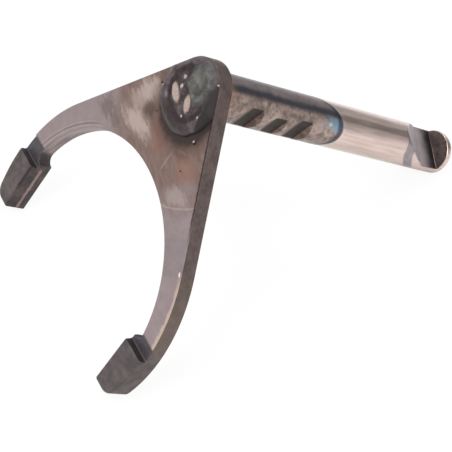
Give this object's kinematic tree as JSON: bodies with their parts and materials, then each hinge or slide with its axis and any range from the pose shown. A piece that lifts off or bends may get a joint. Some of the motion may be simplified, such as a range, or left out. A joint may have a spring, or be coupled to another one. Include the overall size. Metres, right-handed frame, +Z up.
{
  "type": "gear selector fork",
  "caption": "Steel selector fork with raised wear pads inside its jaw, welded to a round selector rod with detent grooves and a finger notch.",
  "frame": {"origin": "centre of the footprint on the floor, with the fork resting on both pad ends and the rim of the rod far end", "axes": "+X across the jaw to the right pad, +Y from the jaw towards the far end of the rod, +Z up"},
  "size_m": [0.1048, 0.161, 0.0878],
  "materials": {
    "fork_plate": "ground and heat-tinted, dull, with darker pads",
    "selector_rod": "ground steel, oxidised dark near the plate, polished towards the far end",
    "weld_bead": "dark weld metal with slag"
  },
  "bodies": {
    "root": {"fork_plate": "fork_plate", "selector_rod": "selector_rod", "weld_bead": "weld_bead"}
  },
  "joints": []
}
